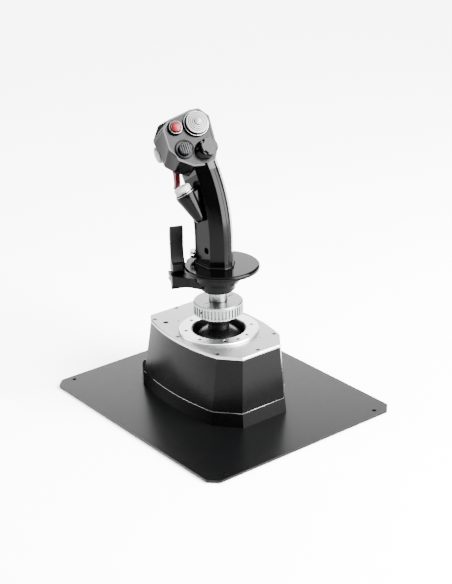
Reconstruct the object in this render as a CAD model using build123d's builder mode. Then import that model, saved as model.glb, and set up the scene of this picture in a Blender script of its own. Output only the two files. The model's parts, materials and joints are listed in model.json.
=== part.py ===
"""Flight joystick: a desktop plate, a gimbal base, and a stick grip with its switches.

Millimetres. +X is the user's right, +Y points away from the user, +Z is up.
The origin is on the stick's axis, on the surface that the rubber pads stand on.
"""

from build123d import *
import math
import os

os.makedirs("parts", exist_ok=True)

# ---------------------------------------------------------------- driving sizes

# desktop plate
pad_height = 1.5
pad_radius = 14.0
pad_x = 110.0
pad_y = 130.0
plate_width = 290.0
plate_depth = 340.0
plate_thickness = 3.0
plate_corner_cut = 12.0
plate_corner_radius = 4.0
corner_hole_x = 120.0
corner_hole_y = 160.0
corner_hole_radius = 2.75
base_screw_x = 42.0
base_screw_front = -62.0
base_screw_back = 78.0

# base casing
plate_top = pad_height + plate_thickness
band_height = 18.5
seam_z = plate_top + band_height
shell_height = 70.1
shell_top = seam_z + shell_height
floor_thickness = 4.0
floor_top = plate_top + floor_thickness
wall = 3.0
seam_lip = 0.6
top_plate_thickness = 3.4
top_plate_z = shell_top + top_plate_thickness
cover_bore_radius = 46.0

# gimbal ring and bowl
ring_outer_radius = 51.0
ring_inner_radius = 35.3
ring_thickness = 3.2
ring_top = top_plate_z + ring_thickness
ring_screw_circle = 42.0
ring_screw_count = 8
bowl_radius = 33.0
bowl_bottom = 90.0

# gimbal
gimbal_z = 63.5
fit_gap = 0.02
running_gap = 0.05
roll_axle_radius = 4.0
roll_bearing_radius = 8.0
pitch_axle_radius = 3.0
pitch_bearing_radius = 6.5
yoke_width = 60.0
yoke_depth = 68.0
yoke_height = 18.0
yoke_side_wall = 8.0
post_inner_y = 46.0
post_thickness = 9.0
block_width = 38.0
block_depth = 40.0
spring_radius = 16.0
spring_wire_radius = 1.4
spring_plate_z = 38.0

# stick post and locking ring
post_radius = 8.0
post_head_radius = 23.9
post_head_z = 118.0
post_head_top = 132.0
boot_radius = 13.8
nut_radius = 31.2
nut_bottom = 122.1
nut_height = 16.0
nut_top = nut_bottom + nut_height
nut_ribs = 44
neck_radius = 11.4

# hand rest
bell_bottom = 152.5
bell_step_z = 163.5
bell_top = 180.5
bell_step_radius = 22.0
bell_radius = 30.7
rest_radius = 47.6
rest_thickness = 6.0
rest_top = bell_top + rest_thickness
rest_x = 4.0
rest_y = -3.5

# grip column
column_half_width = 18.0
column_back = 25.0
column_front = 25.0
column_front_radius = 10.0
column_bevel_width = 12.0
column_bevel_depth = 12.6
column_wall = 2.8
column_y = 3.0
column_bend_z = 219.5
column_bend_radius = 150.0
column_lean = 31.0
side_screw_z = 208.7
side_screw_y = -2.2
corner_screw_z = 195.5
foot_height = 2.4
foot_flare = 2.2

# head: its face leans back to the user and turns to the thumb
face = Plane(origin=(3.3, 8.0, 318.9), x_dir=(0.962, -0.257, 0.083), z_dir=(-0.261, -0.800, 0.540))
side_depth = 24.0
nose_depth = 50.0
head_wall = 2.6
panel_inset = 2.4
panel_recess = 0.8
panel_thickness = 2.0

# switches on the face: places are right of and up from the face's origin
trim_place = (-8.0, 47.5)
trim_bezel_radius = 16.2
trim_cap_radius = 13.8
weapon_place = (-34.8, 48.0)
weapon_collar_radius = 9.4
weapon_button_radius = 6.3
select_place = (-31.0, 20.0)
select_bezel_radius = 12.0
select_cap_radius = 8.4
castle_place = (-7.0, 14.0)
castle_collar_radius = 11.8
castle_cap_radius = 11.4
castle_tilt = 12.0
hat_stem_radius = 3.0
push_stem_radius = 2.2
hat_bore_radius = 6.5
hat_pivot_depth = 8.5
housing_size = 15.0

# event button, trigger, side pod and paddle lever
event_radius = 10.5
trigger_x = -15.0
trigger_width = 7.0
trigger_pin_y = 57.0
trigger_pin_z = 303.5
trigger_pin_radius = 1.5
pod_ring = (-30.1, 20.4, 278.0)
pod_axis = (-0.300, 0.420, 0.856)
pod_radius = 12.8
pod_length = 37.0
pod_button_radius = 10.4
lever_place = (-30.0, 43.0, 166.5)
lever_turn = -20.0
lever_width = 17.0
lever_height = 65.0
lever_pin_radius = 2.0
ear_inner = 7.0
ear_outer = 11.0
board_width = 2 * (column_half_width - column_wall - fit_gap)


def save(piece, name):
    """Labels a finished piece and writes it as its own STEP file."""
    piece.part.label = name
    export_step(piece.part, f"parts/{name}.step")


def mirrored_x(points):
    """The points, then their mirror images across X = 0 in reverse order."""
    return points + [(-x, y) for x, y in reversed(points)]


def casing_outline(front, corner, side, rear, back):
    """Closed outline of the casing at one height: straight ends, cut corners and bowed sides."""
    Line((-front[0], front[1]), front)
    Line(front, corner)
    ThreePointArc(corner, side, rear)
    Line(rear, back)
    Line(back, (-back[0], back[1]))
    Line((-back[0], back[1]), (-rear[0], rear[1]))
    ThreePointArc((-rear[0], rear[1]), (-side[0], side[1]), (-corner[0], corner[1]))
    Line((-corner[0], corner[1]), (-front[0], front[1]))


def countersunk_screws(places, top, head_radius, shaft_radius, length):
    """A group of countersunk screws with hexagon sockets, heads up, one at each (x, y)."""
    head_height = head_radius - shaft_radius
    with BuildPart() as screws:
        with Locations(*[(x, y, top) for x, y in places]):
            Cone(shaft_radius, head_radius, head_height, align=(Align.CENTER, Align.CENTER, Align.MAX))
            Cylinder(shaft_radius, length, align=(Align.CENTER, Align.CENTER, Align.MAX))
        with BuildSketch(Plane.XY.offset(top)):
            with Locations(*places):
                RegularPolygon(0.42 * head_radius, 6)
        extrude(amount=-0.8 * head_height, mode=Mode.SUBTRACT)
    return screws


foot_outline = ((34.6, -90.1), (59.8, -58.3), (67.2, 8.0), (58.8, 88.3), (46.0, 101.0))
seam_outline = ((33.7, -87.9), (58.7, -58.9), (65.6, 6.0), (57.0, 88.0), (44.5, 99.3))
crown_outline = ((29.6, -84.6), (50.3, -59.9), (59.7, 2.0), (47.5, 80.8), (37.9, 95.0))
cover_screws = mirrored_x([(45.1, -54.6), (52.1, 17.1), (42.7, 79.1)]) + [(0.0, -77.4), (0.0, 90.3)]
base_screws = mirrored_x([(base_screw_x, base_screw_front), (base_screw_x, base_screw_back)])
ring_screw_angles = [math.radians(18.0 + 360.0 * i / ring_screw_count) for i in range(ring_screw_count)]
ring_screws = [(ring_screw_circle * math.cos(a), ring_screw_circle * math.sin(a))
               for a in ring_screw_angles]

# ---------------------------------------------------------------- desktop plate

with BuildPart() as rubber_pads:
    with BuildSketch():
        with GridLocations(2 * pad_x, 2 * pad_y, 2, 2):
            Circle(pad_radius)
    extrude(amount=pad_height)
    fillet(rubber_pads.edges().group_by(Axis.Z)[0], 0.4)
save(rubber_pads, "rubber_pads")

with BuildPart() as desktop_plate:
    with BuildSketch(Plane.XY.offset(pad_height)) as plate_outline:
        Rectangle(plate_width, plate_depth)
        chamfer(plate_outline.vertices(), plate_corner_cut)
        fillet(plate_outline.vertices(), plate_corner_radius)
        with GridLocations(2 * corner_hole_x, 2 * corner_hole_y, 2, 2):
            Circle(corner_hole_radius, mode=Mode.SUBTRACT)
        with Locations(*base_screws):
            Circle(2.7, mode=Mode.SUBTRACT)
    extrude(amount=plate_thickness)
    with Locations(*[(x, y, pad_height) for x, y in base_screws]):
        Cone(5.0, 2.7, 2.3, align=(Align.CENTER, Align.CENTER, Align.MIN), mode=Mode.SUBTRACT)
save(desktop_plate, "desktop_plate")

with BuildPart() as plate_screws:
    with Locations(*[(x, y, pad_height + 0.1) for x, y in base_screws]):
        Cone(4.8, 2.5, 2.3, align=(Align.CENTER, Align.CENTER, Align.MIN))
        Cylinder(2.4, 12.0, align=(Align.CENTER, Align.CENTER, Align.MIN))
    with BuildSketch(Plane.XY.offset(pad_height)):
        with Locations(*base_screws):
            RegularPolygon(1.7, 6)
    extrude(amount=1.8, mode=Mode.SUBTRACT)
save(plate_screws, "plate_screws")

# ---------------------------------------------------------------- base casing

with BuildPart() as tray_outside:
    with BuildSketch(Plane.XY.offset(plate_top)):
        with BuildLine():
            casing_outline(*foot_outline)
        make_face()
    with BuildSketch(Plane.XY.offset(seam_z)):
        with BuildLine():
            casing_outline(*seam_outline)
        make_face()
    loft(ruled=True)

with BuildPart() as base_tray:
    add(tray_outside.part)
    with BuildSketch(Plane.XY.offset(floor_top)):
        with BuildLine():
            casing_outline(*seam_outline)
        make_face()
        offset(amount=-wall, kind=Kind.INTERSECTION)
    extrude(amount=band_height, mode=Mode.SUBTRACT)
    chamfer(base_tray.faces().sort_by(Axis.Z)[-1].outer_wire().edges(), seam_lip)
    with Locations(*[(x, y, plate_top) for x, y in base_screws]):
        Cylinder(6.0, 12.0, align=(Align.CENTER, Align.CENTER, Align.MIN))
        Hole(2.4 + fit_gap, depth=30.0)
save(base_tray, "base_tray")

with BuildPart() as shell_outside:
    with BuildSketch(Plane.XY.offset(seam_z)):
        with BuildLine():
            casing_outline(*seam_outline)
        make_face()
        offset(amount=-seam_lip, kind=Kind.INTERSECTION)
    with BuildSketch(Plane.XY.offset(shell_top)):
        with BuildLine():
            casing_outline(*crown_outline)
        make_face()
    loft(ruled=True)

with BuildPart() as shell_inside:
    with BuildSketch(Plane.XY.offset(seam_z)):
        with BuildLine():
            casing_outline(*seam_outline)
        make_face()
        offset(amount=-seam_lip - wall, kind=Kind.INTERSECTION)
    with BuildSketch(Plane.XY.offset(shell_top)):
        with BuildLine():
            casing_outline(*crown_outline)
        make_face()
        offset(amount=-wall, kind=Kind.INTERSECTION)
    loft(ruled=True)

with BuildPart() as screw_bosses:
    with Locations(*[(x, y, shell_top) for x, y in cover_screws]):
        Cylinder(6.5, 14.0, align=(Align.CENTER, Align.CENTER, Align.MAX))
    add(shell_outside.part, mode=Mode.INTERSECT)

with BuildPart() as base_shell:
    add(shell_outside.part)
    add(shell_inside.part, mode=Mode.SUBTRACT)
    add(screw_bosses.part)
    with Locations(*[(x, y, shell_top) for x, y in cover_screws]):
        Hole(1.5 + fit_gap, depth=10.0)
save(base_shell, "base_shell")

with BuildPart() as top_plate:
    with BuildSketch(Plane.XY.offset(shell_top)):
        with BuildLine():
            casing_outline(*crown_outline)
        make_face()
        Circle(cover_bore_radius, mode=Mode.SUBTRACT)
    extrude(amount=top_plate_thickness)
    chamfer(top_plate.faces().sort_by(Axis.Z)[-1].outer_wire().edges(), 1.3)
    with Locations(*[(x, y, top_plate_z) for x, y in cover_screws]):
        CounterSinkHole(1.7, 3.1)
    with Locations((-37.6, 62.0, top_plate_z), (37.6, 62.0, top_plate_z)):
        Hole(3.6)
    with Locations((-25.0, -52.0, top_plate_z), (25.0, -52.0, top_plate_z),
                   (-23.1, 55.6, top_plate_z), (23.1, 55.6, top_plate_z)):
        Hole(1.2)
save(top_plate, "top_plate")

top_plate_screws = countersunk_screws(cover_screws, top_plate_z - 0.1, 2.9, 1.5, 9.0)
save(top_plate_screws, "top_plate_screws")

# ---------------------------------------------------------------- gimbal ring and bowl

with BuildPart() as gimbal_ring:
    with BuildSketch(Plane.XY.offset(top_plate_z)):
        Circle(ring_outer_radius)
        Circle(ring_inner_radius, mode=Mode.SUBTRACT)
    extrude(amount=ring_thickness)
    chamfer(gimbal_ring.faces().sort_by(Axis.Z)[-1].outer_wire().edges(), 0.8)
    with Locations(*[(x, y, ring_top) for x, y in ring_screws]):
        CounterSinkHole(1.6, 2.6)
    with Locations((-3.7, -ring_screw_circle, ring_top)):
        Hole(3.1)
save(gimbal_ring, "gimbal_ring")

gimbal_ring_screws = countersunk_screws(ring_screws, ring_top - 0.1, 2.4, 1.4, 5.0)
save(gimbal_ring_screws, "gimbal_ring_screws")

with BuildPart() as bowl_collar:
    with BuildSketch(Plane.XY.offset(bowl_bottom)):
        Circle(ring_inner_radius - fit_gap)
        Circle(bowl_radius, mode=Mode.SUBTRACT)
    extrude(amount=ring_top - 0.4 - bowl_bottom)
    with BuildSketch(Plane.XY.offset(shell_top + 0.2)):
        Circle(cover_bore_radius - 0.3)
        Circle(bowl_radius, mode=Mode.SUBTRACT)
    extrude(amount=top_plate_thickness - 0.4)
    with Locations(*[(x, y, ring_top) for x, y in ring_screws]):
        Hole(1.4 + fit_gap)
    chamfer(bowl_collar.faces().sort_by(Axis.Z)[-1].inner_wires()[0].edges(), 1.2)
save(bowl_collar, "bowl_collar")

# ---------------------------------------------------------------- rear housing and electronics

with BuildPart() as port_housing:
    with BuildSketch(Plane.YZ):
        with BuildLine():
            Polyline((90.0, plate_top), (119.0, plate_top), (119.0, plate_top + 10.0),
                     (112.0, plate_top + 21.0), (90.0, plate_top + 26.0), close=True)
        make_face()
    extrude(amount=40.0, both=True)
    fillet(port_housing.edges().filter_by(Axis.Z).group_by(Axis.Y)[-1], 4.0)
    add(tray_outside.part, mode=Mode.SUBTRACT)
    add(shell_outside.part, mode=Mode.SUBTRACT)
    with Locations((0.0, 119.0, plate_top + 9.0)):
        Box(20.0, 16.0, 13.0, mode=Mode.SUBTRACT)
    with Locations((0.0, 108.0, plate_top + 9.0)):
        Box(12.6, 14.0, 11.6, mode=Mode.SUBTRACT)
save(port_housing, "port_housing")

with BuildPart() as usb_socket:
    with Locations((0.0, 106.0, plate_top + 9.0)):
        Box(12.4, 10.0, 11.4)
    with Locations((0.0, 111.0, plate_top + 9.0)):
        Box(9.0, 16.0, 8.2, align=(Align.CENTER, Align.MAX, Align.CENTER), mode=Mode.SUBTRACT)
    with Locations((0.0, 101.0, plate_top + 9.0)):
        Box(12.4, 2.0, 11.4, align=(Align.CENTER, Align.MIN, Align.CENTER))
        Box(5.6, 9.0, 3.2, align=(Align.CENTER, Align.MIN, Align.CENTER))
save(usb_socket, "usb_socket")

with BuildPart() as main_board:
    with Locations((0.0, 78.0, floor_top + 6.0)):
        Box(64.0, 30.0, 1.6)
    with Locations((-14.0, 78.0, floor_top + 7.6)):
        Box(10.0, 10.0, 1.6)
    with Locations((12.0, 84.0, floor_top + 9.8)):
        Box(14.0, 6.0, 6.0)
    with Locations((24.0, 70.0, floor_top + 8.8)):
        Box(4.0, 4.0, 4.0)
    with Locations((-26.0, 86.0, floor_top + 8.8), (-26.0, 80.0, floor_top + 8.8)):
        Cylinder(2.0, 4.0)
    with Locations(*[(x, y, floor_top) for x in (-28.0, 28.0) for y in (67.0, 89.0)]):
        Cylinder(2.5, 5.2, align=(Align.CENTER, Align.CENTER, Align.MIN))
save(main_board, "main_board")

# ---------------------------------------------------------------- gimbal

with BuildPart() as gimbal_frame:
    with Locations((0.0, 0.0, floor_top)):
        Box(70.0, 2 * (post_inner_y + post_thickness), 5.0, align=(Align.CENTER, Align.CENTER, Align.MIN))
    for side in (-1, 1):
        with BuildSketch(Plane.XZ.offset(-side * post_inner_y)):
            with BuildLine():
                Polyline((-24.0, floor_top), (24.0, floor_top),
                         (13.0, gimbal_z - 8.0), (13.0, gimbal_z + 13.0),
                         (-13.0, gimbal_z + 13.0), (-13.0, gimbal_z - 8.0), close=True)
            make_face()
            with Locations((0.0, gimbal_z)):
                Circle(roll_bearing_radius + fit_gap, mode=Mode.SUBTRACT)
        extrude(amount=-side * post_thickness)
    with Locations((0.0, 0.0, floor_top)):
        Cylinder(spring_radius + spring_wire_radius + 3.0, 9.0, align=(Align.CENTER, Align.CENTER, Align.MIN))
        with Locations((0.0, 0.0, 5.0)):
            Cylinder(spring_radius + spring_wire_radius + 0.6, 9.0,
                     align=(Align.CENTER, Align.CENTER, Align.MIN), mode=Mode.SUBTRACT)
save(gimbal_frame, "gimbal_frame")

with BuildPart() as roll_bearings:
    for side in (-1, 1):
        with BuildSketch(Plane.XZ.offset(-side * (post_inner_y + 0.5))):
            with Locations((0.0, gimbal_z)):
                Circle(roll_bearing_radius)
                Circle(roll_axle_radius + running_gap, mode=Mode.SUBTRACT)
        extrude(amount=-side * 8.0)
save(roll_bearings, "roll_bearings")

with BuildPart() as roll_sensor:
    with Locations((0.0, post_inner_y + post_thickness + 5.8, gimbal_z)):
        Box(22.0, 1.6, 26.0)
    with Locations((0.0, post_inner_y + post_thickness + 4.4, gimbal_z)):
        Box(5.0, 1.2, 4.0)
    with Locations(*[(x, post_inner_y + post_thickness, z) for x in (-8.5, 8.5)
                     for z in (gimbal_z - 10.5, gimbal_z + 10.5)]):
        Cylinder(1.8, 5.0, rotation=(-90, 0, 0), align=(Align.CENTER, Align.CENTER, Align.MIN))
save(roll_sensor, "roll_sensor")

with BuildPart() as outer_yoke:
    with BuildSketch(Plane.XY.offset(gimbal_z - yoke_height / 2)):
        RectangleRounded(yoke_width, yoke_depth, 5.0)
        RectangleRounded(yoke_width - 2 * yoke_side_wall, yoke_depth - 2 * yoke_side_wall, 3.0,
                         mode=Mode.SUBTRACT)
    extrude(amount=yoke_height)
    with Locations((0.0, 0.0, gimbal_z)):
        Cylinder(roll_axle_radius + fit_gap, yoke_depth + 2.0, rotation=(90, 0, 0), mode=Mode.SUBTRACT)
        Cylinder(pitch_bearing_radius + fit_gap, yoke_width + 2.0, rotation=(0, 90, 0), mode=Mode.SUBTRACT)
save(outer_yoke, "outer_yoke")

with BuildPart() as roll_axles:
    for side in (-1, 1):
        with BuildSketch(Plane.XZ.offset(-side * 27.0)):
            with Locations((0.0, gimbal_z)):
                Circle(roll_axle_radius)
        extrude(amount=-side * 29.0)
save(roll_axles, "roll_axles")

with BuildPart() as pitch_bearings:
    for side in (-1, 1):
        with BuildSketch(Plane.YZ.offset(side * 22.5)):
            with Locations((0.0, gimbal_z)):
                Circle(pitch_bearing_radius)
                Circle(pitch_axle_radius + running_gap, mode=Mode.SUBTRACT)
        extrude(amount=side * 7.0)
save(pitch_bearings, "pitch_bearings")

with BuildPart() as centring_spring:
    with BuildLine() as spring_coil:
        Helix(pitch=5.2, height=20.8, radius=spring_radius,
              center=(0, 0, floor_top + 5.0 + spring_wire_radius))
    with BuildSketch(spring_coil.line ^ 0):
        Circle(spring_wire_radius)
    sweep()
save(centring_spring, "centring_spring")

# ---------------------------------------------------------------- stick post

with BuildPart() as inner_yoke:
    with Locations((0.0, 0.0, gimbal_z)):
        Box(block_width, block_depth, yoke_height)
    fillet(inner_yoke.edges().filter_by(Axis.X), 3.0)
    with Locations((0.0, 0.0, gimbal_z)):
        Cylinder(post_radius + fit_gap, yoke_height + 2.0, mode=Mode.SUBTRACT)
        Cylinder(pitch_axle_radius + fit_gap, block_width + 2.0, rotation=(0, 90, 0), mode=Mode.SUBTRACT)
save(inner_yoke, "inner_yoke")

with BuildPart() as pitch_axles:
    for side in (-1, 1):
        with BuildSketch(Plane.YZ.offset(side * (post_radius + 0.5))):
            with Locations((0.0, gimbal_z)):
                Circle(pitch_axle_radius)
        extrude(amount=side * 22.5)
save(pitch_axles, "pitch_axles")

with BuildPart() as stick_post:
    with BuildSketch(Plane.XZ):
        with BuildLine():
            Polyline((0.0, spring_plate_z), (19.0, spring_plate_z), (19.0, spring_plate_z + 3.0),
                     (post_radius, spring_plate_z + 5.0), (post_radius, post_head_z),
                     (post_head_radius, post_head_z), (post_head_radius, post_head_top),
                     (6.0, post_head_top), (6.0, post_head_z + 4.0), (0.0, post_head_z + 4.0), close=True)
        make_face()
    revolve(axis=Axis.Z)
save(stick_post, "stick_post")

with BuildPart() as shaft_boot:
    with BuildSketch(Plane.XZ):
        with BuildLine():
            Polyline((post_radius + fit_gap, 90.0), (boot_radius + 1.2, 90.0), (boot_radius + 1.2, 93.0),
                     (boot_radius, 98.0), (boot_radius - 1.0, 107.0), (boot_radius, post_head_z),
                     (post_radius + fit_gap, post_head_z), close=True)
        make_face()
    revolve(axis=Axis.Z)
save(shaft_boot, "shaft_boot")

with BuildPart() as gimbal_cap:
    with BuildSketch(Plane.XY.offset(82.0)):
        RectangleRounded(48.0, 38.0, 6.0)
    with BuildSketch(Plane.XY.offset(90.0)):
        RectangleRounded(40.0, 30.0, 5.0)
    loft(ruled=True)
    with Locations((-15.0, 0.0, 90.0), (15.0, 0.0, 90.0)):
        Box(1.6, 50.0, 4.0, mode=Mode.SUBTRACT)
    with Locations((0.0, 0.0, 82.0)):
        Cylinder(post_radius + fit_gap, 30.0, mode=Mode.SUBTRACT)
save(gimbal_cap, "gimbal_cap")

grub_direction = Vector(-1, 0, 0).rotate(Axis.Z, 9.0)
grub_spot = Plane(origin=grub_direction * nut_radius + Vector(0, 0, post_head_top - 2.0),
                  z_dir=grub_direction)

with BuildPart() as locking_ring:
    with BuildSketch(Plane.XY.offset(nut_bottom)):
        Circle(nut_radius - 1.2)
        with PolarLocations(nut_radius - 1.2, nut_ribs):
            Rectangle(2.4, 2.3)
    extrude(amount=nut_height - 3.0)
    with BuildSketch(Plane.XZ):
        with BuildLine():
            Polyline((0.0, nut_top - 3.4), (nut_radius, nut_top - 3.4), (nut_radius, nut_top - 1.2),
                     (nut_radius - 1.2, nut_top), (0.0, nut_top), close=True)
        make_face()
        with BuildLine():
            Polyline((0.0, nut_bottom), (nut_radius - 1.0, nut_bottom), (nut_radius, nut_bottom + 1.0),
                     (nut_radius, nut_bottom + 1.8), (0.0, nut_bottom + 1.8), close=True)
        make_face()
    revolve(axis=Axis.Z)
    with Locations((0.0, 0.0, nut_bottom)):
        Cylinder(post_head_radius + running_gap, post_head_top + 0.4 - nut_bottom,
                 align=(Align.CENTER, Align.CENTER, Align.MIN), mode=Mode.SUBTRACT)
        Cylinder(neck_radius + running_gap, 40.0, mode=Mode.SUBTRACT)
    with Locations((-19.0, 0.0, nut_top), (19.0, 0.0, nut_top)):
        Box(9.0, 1.6, 2.4, mode=Mode.SUBTRACT)
    with Locations(grub_spot):
        Cylinder(1.5 + fit_gap, 12.0, mode=Mode.SUBTRACT)
save(locking_ring, "locking_ring")

with BuildPart() as locking_ring_screws:
    with Locations(grub_spot.offset(-0.6)):
        Cylinder(1.5, 5.4, align=(Align.CENTER, Align.CENTER, Align.MAX))
    with BuildSketch(grub_spot.offset(-2.2)):
        RegularPolygon(0.9, 6)
    extrude(amount=3.0, mode=Mode.SUBTRACT)
save(locking_ring_screws, "locking_ring_screws")

with BuildPart() as grip_neck:
    with BuildSketch(Plane.XY.offset(post_head_top)):
        Circle(neck_radius)
        Circle(neck_radius - 2.4, mode=Mode.SUBTRACT)
    extrude(amount=bell_top - post_head_top)
save(grip_neck, "grip_neck")

with BuildPart() as grip_connector:
    with Locations((0.0, 0.0, post_head_top)):
        Cylinder(neck_radius - 2.4 - fit_gap, 9.0, align=(Align.CENTER, Align.CENTER, Align.MIN))
    with Locations(Plane.XY.offset(post_head_top + 9.0)):
        with PolarLocations(4.5, 5):
            Cylinder(0.6, 5.0, align=(Align.CENTER, Align.CENTER, Align.MIN))
save(grip_connector, "grip_connector")

# ---------------------------------------------------------------- hand rest

with BuildPart() as grip_bell:
    with BuildSketch(Plane.XZ):
        with BuildLine():
            Polyline((neck_radius + fit_gap, bell_bottom), (bell_step_radius - 2.5, bell_bottom),
                     (bell_step_radius, bell_bottom + 2.5), (bell_step_radius + 0.8, bell_step_z),
                     (bell_radius - 3.4, bell_step_z + 0.8), (bell_radius - 1.0, bell_step_z + 5.0),
                     (bell_radius, bell_top), (neck_radius + fit_gap, bell_top), close=True)
        make_face()
    revolve(axis=Axis.Z)
save(grip_bell, "grip_bell")

lever_plane = Plane(origin=lever_place, x_dir=Vector(1, 0, 0).rotate(Axis.Z, lever_turn), z_dir=(0, 0, 1))

with BuildPart() as hand_rest:
    with Locations((rest_x, rest_y, bell_top)):
        Cylinder(rest_radius, rest_thickness, align=(Align.CENTER, Align.CENTER, Align.MIN))
    fillet(hand_rest.edges().group_by(Axis.Z)[-1], 2.6)
    fillet(hand_rest.edges().group_by(Axis.Z)[0], 1.8)
    with Locations((0.0, 0.0, bell_top)):
        Cylinder(post_radius, 20.0, mode=Mode.SUBTRACT)
    with BuildSketch(lever_plane):
        Rectangle(lever_width + 5.0, 26.0)
    extrude(amount=40.0, mode=Mode.SUBTRACT)
save(hand_rest, "hand_rest")

# ---------------------------------------------------------------- grip column


def column_outline():
    """Section of the grip column: flat sides, long bevels to a narrow back, and rounded front corners."""
    side = column_half_width
    bevel_start = column_bevel_depth - column_back
    back_edge = column_half_width - column_bevel_width
    front_edge = column_half_width - column_front_radius
    corner = column_front - column_front_radius
    Line((side, bevel_start), (side, corner))
    RadiusArc((side, corner), (front_edge, column_front), -column_front_radius)
    Line((front_edge, column_front), (-front_edge, column_front))
    RadiusArc((-front_edge, column_front), (-side, corner), -column_front_radius)
    Line((-side, corner), (-side, bevel_start))
    Line((-side, bevel_start), (-back_edge, -column_back))
    ThreePointArc((-back_edge, -column_back), (0.0, -column_back - 0.6), (back_edge, -column_back))
    Line((back_edge, -column_back), (side, bevel_start))


def column_path():
    """Centre line of the column: straight up from the hand rest, then bending away from the user."""
    Line((column_y, rest_top), (column_y, column_bend_z))
    lean = math.radians(column_lean)
    half = lean / 2
    centre = column_y + column_bend_radius
    bend_middle = (centre - column_bend_radius * math.cos(half),
                   column_bend_z + column_bend_radius * math.sin(half))
    bend_end = (centre - column_bend_radius * math.cos(lean),
                column_bend_z + column_bend_radius * math.sin(lean))
    ThreePointArc((column_y, column_bend_z), bend_middle, bend_end)


lean_angle = math.radians(column_lean)
column_end = Plane(
    origin=(0.0, column_y + column_bend_radius * (1 - math.cos(lean_angle)),
            column_bend_z + column_bend_radius * math.sin(lean_angle)),
    x_dir=(1, 0, 0),
    z_dir=(0, math.sin(lean_angle), math.cos(lean_angle)),
)
column_start = Plane(origin=(0.0, column_y, rest_top), x_dir=(1, 0, 0), z_dir=(0, 0, 1))

with BuildPart() as column_outside:
    with BuildLine(Plane.YZ):
        column_path()
    with BuildSketch(column_start):
        with BuildLine():
            column_outline()
        make_face()
    sweep()

with BuildPart() as column_inside:
    with BuildLine(Plane.YZ):
        column_path()
    with BuildSketch(column_start):
        with BuildLine():
            column_outline()
        make_face()
        offset(amount=-column_wall, kind=Kind.INTERSECTION)
    sweep()

with BuildPart() as column_foot:
    with BuildSketch(column_start):
        with BuildLine():
            column_outline()
        make_face()
        offset(amount=foot_flare, kind=Kind.INTERSECTION)
    extrude(amount=foot_height)
    chamfer(column_foot.faces().sort_by(Axis.Z)[-1].edges(), 1.2)
    add(column_inside.part, mode=Mode.SUBTRACT)

corner_screw = Plane(
    origin=(-column_half_width + column_front_radius - 0.5 * column_front_radius,
            column_y + column_front - column_front_radius + 0.866 * column_front_radius, corner_screw_z),
    z_dir=(-0.5, 0.866, 0.0),
)
side_screw = Plane(origin=(-column_half_width + 7.0, side_screw_y, side_screw_z), z_dir=(-1, 0, 0))

with BuildPart() as column_hollow:
    add(column_outside.part)
    add(column_foot.part)
    add(column_inside.part, mode=Mode.SUBTRACT)

with BuildPart() as grip_left_shell:
    add(column_hollow.part)
    with Locations((-column_half_width - 0.5, side_screw_y, side_screw_z)):
        Cylinder(5.4, 12.0, rotation=(0, 90, 0), align=(Align.CENTER, Align.CENTER, Align.MIN))
        Cylinder(4.1, 7.5, rotation=(0, 90, 0), align=(Align.CENTER, Align.CENTER, Align.MIN),
                 mode=Mode.SUBTRACT)
        Cylinder(1.7, 14.0, rotation=(0, 90, 0), align=(Align.CENTER, Align.CENTER, Align.MIN),
                 mode=Mode.SUBTRACT)
    with BuildSketch(Plane.YZ.offset(-column_half_width)):
        with Locations((side_screw_y, side_screw_z)):
            Circle(8.0)
    extrude(amount=-8.0, mode=Mode.SUBTRACT)
    with Locations(corner_screw):
        Cylinder(2.0 + fit_gap, 24.0, mode=Mode.SUBTRACT)
        Cylinder(6.2 + fit_gap, 7.0, align=(Align.CENTER, Align.CENTER, Align.MIN), mode=Mode.SUBTRACT)
    split(bisect_by=Plane.YZ, keep=Keep.BOTTOM)
save(grip_left_shell, "grip_left_shell")

with BuildPart() as grip_right_shell:
    add(column_hollow.part)
    split(bisect_by=Plane.YZ, keep=Keep.TOP)
save(grip_right_shell, "grip_right_shell")

# ---------------------------------------------------------------- head


head_face = [(-50, 24), (-50, 50), (-40, 60), (-9, 66.5), (2, 66), (12, 54), (10, 12), (3, -1), (-8, -5),
             (-25, -3), (-42, 8)]
head_waist = [(-54, 10), (-58.5, 44), (-46, 62), (-10, 69), (3, 69), (14, 56), (12, 8), (6, -5), (-8, -9),
              (-27, -9), (-44, 0)]
head_nose = [(-42, 14), (-44, 40), (-34, 54), (-10, 60), (0, 58), (6, 48), (5, 8), (1, -1), (-8, -2),
             (-20, -2), (-34, 4)]


def head_block(inset, face_depth, nose_cut):
    """Head casting between its face and its nose, every surface moved inwards by the inset."""
    with BuildPart() as block:
        for depth, points in ((face_depth, head_face), (side_depth, head_waist)):
            with BuildSketch(face.offset(-depth)) as section:
                with BuildLine():
                    Polyline(*points, close=True)
                make_face()
                fillet(section.vertices(), 5.0)
                if inset > 0:
                    offset(amount=-inset, kind=Kind.INTERSECTION)
        loft(ruled=True)
        for depth, points in ((side_depth, head_waist), (nose_depth - nose_cut, head_nose)):
            with BuildSketch(face.offset(-depth)) as section:
                with BuildLine():
                    Polyline(*points, close=True)
                make_face()
                fillet(section.vertices(), 5.0)
                if inset > 0:
                    offset(amount=-inset, kind=Kind.INTERSECTION)
        loft(ruled=True)
    return block


head_solid = head_block(0.0, 0.0, 0.0)
head_cavity = head_block(head_wall, 5.2, head_wall)

with BuildPart() as neck_prism:
    with BuildSketch(column_end):
        with BuildLine():
            column_outline()
        make_face()
    extrude(amount=18.0)

with BuildPart() as neck_cavity:
    with BuildSketch(column_end):
        with BuildLine():
            column_outline()
        make_face()
        offset(amount=-column_wall, kind=Kind.INTERSECTION)
    extrude(amount=26.0)

with BuildPart() as head_hollow:
    add(head_solid.part)
    add(neck_prism.part)
    add(head_cavity.part, mode=Mode.SUBTRACT)
    add(neck_cavity.part, mode=Mode.SUBTRACT)


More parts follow.
